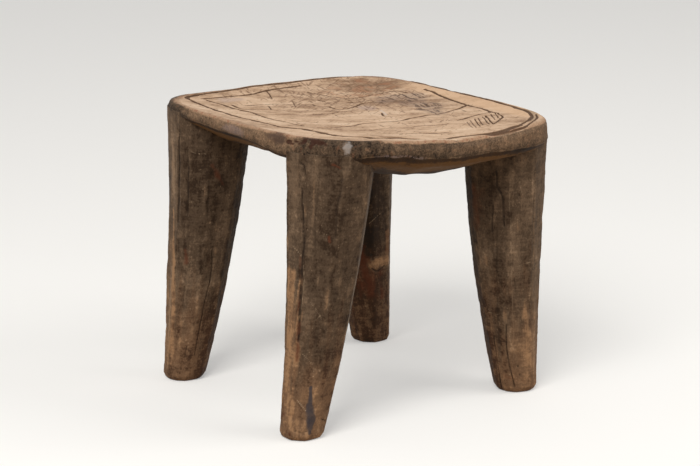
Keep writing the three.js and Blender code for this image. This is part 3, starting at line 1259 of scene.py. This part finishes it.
class Finish:
    """A node tree whose nodes are added by expressions."""

    def __init__(self, owner):
        owner.use_nodes = True
        self.owner = owner
        self.tree = owner.node_tree
        self.tree.nodes.clear()

    @staticmethod
    def find(sockets, key):
        """A socket by its number, or the first live one, with a name if one is given."""
        if isinstance(key, int):
            return sockets[key]
        return next(one for one in sockets if one.enabled and key in (None, one.name))

    def add(self, kind, settings=None, inputs=None, output=None):
        """Adds a node, sets it up, then fills or links its inputs, and gives one of its outputs."""
        node = self.tree.nodes.new("ShaderNode" + kind)
        for name, value in (settings or {}).items():
            setattr(node, name, value)
        for key, value in (inputs or {}).items():
            socket = self.find(node.inputs, key)
            if isinstance(value, Value):
                self.tree.links.new(value.socket, socket)
            else:
                socket.default_value = value
        if not node.outputs:
            return None
        return Value(self, self.find(node.outputs, output))

    def noted(self, name, output="Fac"):
        """What the mesh keeps under a name."""
        return self.add("Attribute", {"attribute_name": name}, {}, output)

    def scaled(self, where, size):
        """Coordinates in which a pattern of that size in millimetres is one unit."""
        sizes = size if isinstance(size, tuple) else (size,) * 3
        per_metre = tuple(1 / (MM * one) for one in sizes)
        return self.add("VectorMath", {"operation": "MULTIPLY"}, {0: where, 1: per_metre})

    def turned(self, where, angle):
        """Coordinates whose first direction lies at an angle from +X."""
        return self.add("Mapping", {}, {"Vector": where, "Rotation": (0, 0, -angle)})

    def mottle(self, where, size, detail=2, roughness=0.5, seed=0):
        """Random values round 0.5, in spots of about that size in millimetres."""
        moved = self.add(
            "VectorMath",
            {"operation": "ADD"},
            {0: self.scaled(where, size), 1: (seed * 7.3, seed * 3.1, seed * 5.7)},
        )
        inputs = {"Vector": moved, "Scale": 1, "Detail": detail, "Roughness": roughness}
        return self.add("TexNoise", {}, inputs)

    def fade(self, value, low, high):
        """0 at low and 1 at high, with a smooth change between. Low may be the higher."""
        inputs = {"Value": value, "From Min": low, "From Max": high}
        return self.add("MapRange", {"interpolation_type": "SMOOTHSTEP"}, inputs)

    def between(self, value, start, full, fall, end):
        """1 from full to fall, and 0 before start and after end."""
        return self.fade(value, start, full) * self.fade(value, end, fall)

    def spot(self, where, place_and_reach, ragged):
        """1 in the middle of a patch in millimetres, and 0 outside its reach, with a ragged edge."""
        centre, reach = place_and_reach
        inputs = {0: self.scaled(where, reach), 1: tuple(c / r for c, r in zip(centre, reach))}
        away = self.add("VectorMath", {"operation": "DISTANCE"}, inputs, "Value")
        return self.fade(away + ragged, 1.1, 0.5)

    def blend(self, mask, below, above):
        """Lays one colour over another where a mask says."""
        inputs = {"Factor": mask, "A": below, "B": above}
        return self.add("Mix", {"data_type": "RGBA"}, inputs)


class Wood(Finish):
    """A finish of wood, in the stool's own shades."""

    def __init__(self, name, colours):
        super().__init__(bpy.data.materials.new(name))
        self.shade = {one: linear(getattr(colours, one)) for one in colours.__annotations__}

    def over(self, colour, name, mask):
        """Lays a shade over a colour where a mask says."""
        return self.blend(mask, colour, self.shade[name])

    def ramp(self, tone, tones):
        """A colour by its tone, from pairs of a tone and the shade that stands at it."""
        (start, first), *rest = tones
        mixed = self.shade[first]
        for end, name in rest:
            mixed = self.over(mixed, name, self.fade(tone, start, end))
            start = end
        return mixed

    def surface(self, colour, roughness, height):
        """Closes the material with its colour, roughness and relief in millimetres."""
        relief = self.add("Bump", {}, {"Strength": WOOD_BUMP, "Distance": MM, "Height": height})
        inputs = {"Base Color": colour, "Roughness": roughness, "Normal": relief}
        inputs["Specular IOR Level"] = WOOD_SHEEN
        shader = self.add("BsdfPrincipled", {}, inputs)
        self.add("OutputMaterial", {}, {"Surface": shader})
        return self.owner


class SeatWood(Wood):
    """Bare, incised wood on top, a worn rim, a dark side and a darker underside."""

    def __init__(self, colours):
        super().__init__("seat_wood", colours)
        self.where = self.add("TexCoord", {}, {}, "Object")
        self.across = self.add("SeparateXYZ", {}, {0: self.where}, "X")
        self.along = self.add("SeparateXYZ", {}, {0: self.where}, "Y")
        self.above = self.noted("above_edge")

        # Spots from coarse to fine, and what frays the edges of patches
        self.coarse = self.mottle(self.where, 16, detail=3, roughness=0.6)
        self.spots = self.mottle(self.where, 6, detail=3, roughness=0.6, seed=8)
        self.fine = self.mottle(self.where, 3.4, roughness=0.6)
        self.grit = self.mottle(self.where, 1.6)
        self.ragged = (self.coarse - 0.5) * 1.3

        # Fields, streaks and blots along the grain, and chopped strokes on either side of it
        turned = self.turned(self.where, GRAIN_ANGLE)
        self.field = self.mottle(turned, (80, 52, 50), detail=3, seed=1)
        self.streak = self.mottle(turned, (46, 15, 30), detail=4, roughness=0.6, seed=2)
        self.blot = self.mottle(turned, (18, 13, 14), detail=3, roughness=0.6, seed=3)
        falling = self.turned(self.where, GRAIN_ANGLE + FALLING_TURN)
        rising = self.turned(self.where, GRAIN_ANGLE - RISING_TURN)
        self.falling = self.mottle(falling, (4, 24, 12), seed=4)
        self.rising = self.mottle(rising, (2.8, 18, 12), seed=5)

    def near(self, place_and_reach):
        """1 in the middle of a patch of the seat, and 0 outside its ragged edge."""
        return self.spot(self.where, place_and_reach, self.ragged)

    def top(self):
        """The top before its lines: mottled and scraped, with its rough patch and its smooth band."""
        back = self.near(BACK_WEAR)
        rough = self.noted("rough")
        tone = 0.59 + (self.field - 0.5) * 0.6 + (self.streak - 0.5) * 0.6 + (self.blot - 0.5) * 0.5
        tone += (self.fine - 0.5) * 0.3 - back * 0.09 - self.near(DARK_FIELD) * 0.16
        colour = self.ramp(tone, TOP_TONES)
        for patch in LILAC_PATCHES:
            colour = self.over(colour, "lilac", self.near(patch) * 0.35)
        redder = self.near(REDDISH_PATCH) * self.fade(self.blot, 0.5, 0.4)
        colour = self.over(colour, "reddish", redder * 0.4)
        colour = self.over(colour, "rough", rough * 0.45)
        for stroke in (self.falling, self.rising):
            chopped = self.fade(stroke + back * 0.08, 0.64, 0.72)
            colour = self.over(colour, "dash", chopped * 0.7)
        split = rough * self.fade(self.falling + self.noted("splits") * 0.16, 0.54, 0.64)
        colour = self.over(colour, "split", split * 0.7)

        band = self.fade(self.across, *BAND_ACROSS) * self.fade(self.along, *BAND_BACK)
        band *= self.fade(self.along, *BAND_FRONT)
        colour = self.over(colour, "orange", band * 0.7)
        return self.over(colour, "weathered", self.noted("grey") * 0.75)

    def rim_and_side(self, colour):
        """Lays the worn rim and the side over a colour. Both are darker at two corners and in front. The
        rim is painted darker where it turns away, as painted shade, and the side a little lighter on the
        left, as painted light.
        """
        left = self.fade(self.across, *LEFT_SIDE)
        front = self.near(FRONT_WEAR)
        corner = self.near(FRONT_CORNER)
        far_corner = self.near(BACK_CORNER)
        # Where the rim turns away from the front left corner it is painted darker: painted shade
        behind = self.fade(self.across * AWAY_ACROSS + self.along * AWAY_ALONG, *FAR_SHADED_SIDE)
        from_rim = self.noted("from_rim") + (self.coarse - 0.5) * 9 + (self.fine - 0.5) * 7
        from_rim += front * 2 + corner * 5 + far_corner * 3 + left * 2.5 + behind * 5

        tone = 0.53 + (self.coarse - 0.5) * 0.5 + (self.spots - 0.5) * 0.3 + (self.fine - 0.5) * 0.4
        tone += (self.grit - 0.5) * 0.6
        rim = self.ramp(tone - behind * 0.12, RIM_TONES)
        rim = self.over(rim, "rim_red", self.fade(self.spots, 0.54, 0.62) * 0.6)
        colour = self.blend(self.fade(from_rim, *RIM_STARTS), colour, rim)

        low = self.fade(self.above, 10, 0)
        # On the left the side is painted a little lighter: painted light
        tone += left * 0.05 - low * 0.14 - front * 0.1 - corner * 0.24 - far_corner * 0.24
        side = self.ramp(tone, SIDE_TONES)
        side = self.over(side, "rim_red", self.fade(self.spots, 0.6, 0.68) * 0.2)
        return self.blend(self.fade(from_rim, *SIDE_STARTS), colour, side)

    def marks(self, colour):
        """Lays the incised lines, the rubbed lip and the grey lip as painted highlights, the lilac side
        as painted sheen, and the stained and broken places of the rim, over a colour.
        """
        cut = self.noted("cut")
        colour = self.over(colour, "bare_light", self.between(cut, 0, 0.03, 0.04, 0.1) * 0.3)
        colour = self.over(colour, "line", self.fade(cut, 0.02, 0.5) * (0.75 + 0.35 * self.grit))
        colour = self.over(colour, "scar", self.noted("pale") * 0.8)

        # Along the side's lower edge: rubbed wear and a painted highlight
        lip = self.between(self.above, *RUBBED_LIP_HIGHLIGHT_BAND) * self.fade(self.coarse, 0.46, 0.6)
        lip *= 1 - self.noted("over_leg")
        colour = self.over(colour, "side_light", lip * 0.35)
        # A grey painted highlight along the lower edge in front
        grey_lip_highlight = self.spot(self.where, GREY_LIP_HIGHLIGHT, self.ragged * 2)
        grey_lip_highlight *= self.between(self.above, *GREY_LIP_HIGHLIGHT_BAND)
        colour = self.over(colour, "lilac", grey_lip_highlight * self.fade(self.fine, 0.4, 0.55) * 0.45)
        # A painted lilac sheen on the left side
        colour = self.over(colour, "lilac", self.near(LILAC_SIDE_SHEEN) * 0.28)
        colour = self.over(colour, "deep", self.near(DARK_SPOT) * 0.75)
        colour = self.over(colour, "chip", self.fade(self.noted("chips"), 0.03, 0.4) * 0.9)
        scar = self.spot(self.where, PALE_SCAR, self.ragged + (self.fine - 0.5) * 1.2)
        return self.over(colour, "scar", scar * 0.36)

    def underside(self, colour):
        """Lays the dark underside, painted dark as painted shade under the seat, with the lighter bevel
        under the side, over a colour.
        """
        # The facet band stops short of the lower edge, so a dark strip of painted shadow stays under the
        # lip
        tone = 0.4 + self.between(self.above, *FACET_BAND) * 0.23 + (self.field - 0.5) * 0.5
        tone += (self.coarse - 0.5) * 0.4
        tone += (self.fine - 0.5) * 0.3
        beneath = self.ramp(tone, UNDER_TONES)
        return self.blend(self.fade(self.above, *UNDER_STARTS), colour, beneath)

    def finished(self):
        """The finished material."""
        colour = self.underside(self.marks(self.rim_and_side(self.top())))
        roughness = 0.6 + self.coarse * 0.25
        strokes_height = (self.rising + self.falling) * 0.5
        height = strokes_height + self.blot * 0.8 + self.fine * 0.6 + self.grit * 0.3
        return self.surface(colour, roughness, height)


class LegWood(Wood):
    """Dark, mottled patina, painted lighter outside and darker inside as painted light and shade, with
    rubbed corners, pale flecks and a warmer foot, partly painted warm light from the floor.
    """

    def __init__(self, colours):
        super().__init__("leg_wood", colours)
        self.where = self.noted("upright", "Vector")
        self.large = self.mottle(self.where, (34, 34, 50))
        self.patch = self.mottle(self.where, (13, 13, 17), detail=3, roughness=0.6, seed=1)
        self.spots = self.mottle(self.where, (4.5, 4.5, 6), detail=3, roughness=0.6, seed=2)
        self.speck = self.mottle(self.where, (1.8, 1.8, 2.2), seed=3)
        self.rib = self.mottle(self.where, (16, 16, 3), seed=4)
        self.streak = self.mottle(self.where, (7, 7, 80), detail=3, roughness=0.6, seed=5)

    def tone(self):
        """How light the wood is: painted lighter outside and darker inside as painted light and shade,
        lighter on rubbed corners, and raised or lowered by the light and dark marks.
        """
        tone = 0.5 + self.noted("outward") * 0.14 + (self.large - 0.5) * 0.3 + (self.patch - 0.5) * 0.4
        tone += (self.streak - 0.5) * 0.4 + (self.spots - 0.5) * 0.4
        tone += (self.speck - 0.5) * 0.4 + (self.rib - 0.5) * 0.3
        # The light and dark marks: painted light and painted shade on single facets
        tone += self.noted("light") * 0.2 - self.noted("dark") * 0.2
        tone += self.noted("edge") * (self.patch - 0.5)
        return tone + (self.noted("tooled") - 0.5) * 0.16

    def patina(self, tone):
        """The patina, which is warmer towards the foot, partly as painted warm light from the floor, with
        its pale flecks.
        """
        height = self.add("SeparateXYZ", {}, {0: self.where}, "Z")
        height += (self.large - 0.5) * 0.2
        height += (self.streak - 0.5) * 0.2
        warm = self.fade(height, *WARM_HEIGHTS) * 0.8
        colour = self.blend(warm, self.ramp(tone, LEG_TONES), self.ramp(tone, FOOT_TONES))
        fleck = self.fade(self.speck + (self.patch - 0.5) * 0.4, 0.7, 0.8)
        return self.over(colour, "fleck", fleck * 0.4)

    def marks(self, colour, tone):
        """Lays the bare and red places, the stain, the scratches and the cracks over a colour."""
        bare = self.noted("bare") + (self.patch - 0.5) * 0.8 + (self.streak - 0.5) * 1.4
        bare = self.fade(bare, 0.15, 0.75)
        colour = self.blend(bare * 0.85, colour, self.ramp(tone, BARE_LEG_TONES))
        red = self.fade(self.noted("red") + (self.patch - 0.5) * 1.2, 0.15, 0.8)
        colour = self.over(colour, "leg_red", red * 0.7)
        stain = self.fade(self.noted("stain") + (self.spots - 0.5) * 0.6, 0.15, 0.6)
        colour = self.over(colour, "stain", stain * 0.8)

        broken = 0.5 + self.fade(self.spots, 0.4, 0.56) * 0.5
        scratch = self.fade(self.noted("pale"), 0.1, 0.8) * broken
        colour = self.over(colour, "fleck", scratch * 0.7)
        crack = self.fade(self.noted("crack"), 0.05, 0.6) * broken
        return self.over(colour, "crack", crack * 0.9)

    def finished(self):
        """The finished material."""
        tone = self.tone()
        colour = self.marks(self.patina(tone), tone)
        roughness = 0.58 + self.patch * 0.26
        height = self.spots * 0.9 + self.rib * 0.5 + self.streak * 0.5 + self.speck * 0.4
        return self.surface(colour, roughness, height)


# Stage


def seen(tree):
    """1 on what the camera sees, straight or in a shiny surface, and 0 for light on the stool."""
    rays = ("Is Camera Ray", "Is Glossy Ray", "Is Transmission Ray")
    camera, glossy, clear = (tree.add("LightPath", {}, {}, ray) for ray in rays)
    return camera + glossy + clear


def pale_floor(stage):
    """A floor that gives the stool warm light, and that the camera sees pale, with its shadows."""
    ground = Finish(bpy.data.materials.new("floor"))
    mask = seen(ground)
    glow = (stage.glow, stage.glow, stage.glow, 1)
    inputs = {
        "Base Color": ground.blend(mask, linear(stage.floor_bounce), linear(stage.floor)),
        "Roughness": 0.9,
        "Specular IOR Level": 0.1,
        "Emission Color": ground.blend(mask, (0, 0, 0, 1), glow),
        "Emission Strength": 1,
    }
    shader = ground.add("BsdfPrincipled", {}, inputs)
    ground.add("OutputMaterial", {}, {"Surface": shader})
    return ground.owner


def even_sky(stage):
    """A world that gives even light, and that the camera sees white."""
    world = Finish(bpy.data.worlds.new("studio"))
    strength = world.add("MapRange", {}, {"Value": seen(world), "To Min": stage.sky, "To Max": 1})
    sky = world.add("Background", {}, {"Color": (1, 1, 1, 1), "Strength": strength})
    world.add("OutputWorld", {}, {"Surface": sky})
    return world.owner


def place_facing(name, data, place, direction):
    """Puts a lamp or a camera at a place, and turns it in a direction."""
    holder = bpy.data.objects.new(name, data)
    holder.location = place
    holder.rotation_mode = "QUATERNION"
    holder.rotation_quaternion = Vector(direction).to_track_quat("-Z", "Y")
    bpy.context.scene.collection.objects.link(holder)
    return holder


def soft_lamp(name, place, power):
    """A soft square lamp that shines on the stool."""
    light = bpy.data.lights.new(name, "AREA")
    light.size = LAMP_WIDTH
    light.energy = power
    place_facing(name, light, place, Vector(LAMP_AIM) - Vector(place))


class SetStage(bpy.types.Operator):
    """Set up the pale floor, the soft light and the camera"""

    bl_idname = "stool.set_stage"
    bl_label = "Set the stage"
    bl_options = {"REGISTER", "UNDO"}

    def execute(self, context):
        scene = context.scene
        stage = scene.stool_stage

        shell = bmesh.new()
        bmesh.ops.create_grid(shell, x_segments=1, y_segments=1, size=FLOOR_REACH)
        floor = to_piece(shell, "floor")
        floor.data.materials.append(pale_floor(stage))

        scene.world = even_sky(stage)
        soft_lamp("key", KEY_PLACE, stage.lamp)
        soft_lamp("fill", FILL_PLACE, stage.fill)

        camera = bpy.data.cameras.new("camera")
        camera.lens = stage.camera_lens
        camera.clip_start = 0.05
        scene.camera = place_facing("camera", camera, stage.camera_place, stage.camera_look)
        scene.view_settings.view_transform = "Standard"
        return {"FINISHED"}


class StoolPanel(bpy.types.Panel):
    """Sizes, colours and steps of the stool"""

    bl_idname = "STOOL_PT_panel"
    bl_label = "Carved stool"
    bl_space_type = "VIEW_3D"
    bl_region_type = "UI"
    bl_category = "Stool"

    def draw(self, context):
        scene = context.scene
        for settings in (scene.stool_shape, scene.stool_colours, scene.stool_stage):
            box = self.layout.box()
            for name in settings.__annotations__:
                box.prop(settings, name)
        for operator in OPERATORS:
            self.layout.operator(operator.bl_idname)


SETTINGS = {"stool_shape": StoolShape, "stool_colours": StoolColours, "stool_stage": StoolStage}
OPERATORS = (SetStage, CarveSeat, HewLegs)
CLASSES = (*SETTINGS.values(), *OPERATORS, StoolPanel)


def register():
    """Makes the stool's settings, operators and panel known to Blender."""
    for one in CLASSES:
        bpy.utils.register_class(one)
    for name, group in SETTINGS.items():
        setattr(bpy.types.Scene, name, PointerProperty(type=group))


def unregister():
    """Takes them out again."""
    for name in SETTINGS:
        delattr(bpy.types.Scene, name)
    for one in reversed(CLASSES):
        bpy.utils.unregister_class(one)


def main():
    """Makes the stool and its stage."""
    register()
    bpy.ops.stool.set_stage()
    bpy.ops.stool.carve_seat()
    bpy.ops.stool.hew_legs()


if __name__ == "__main__":
    main()
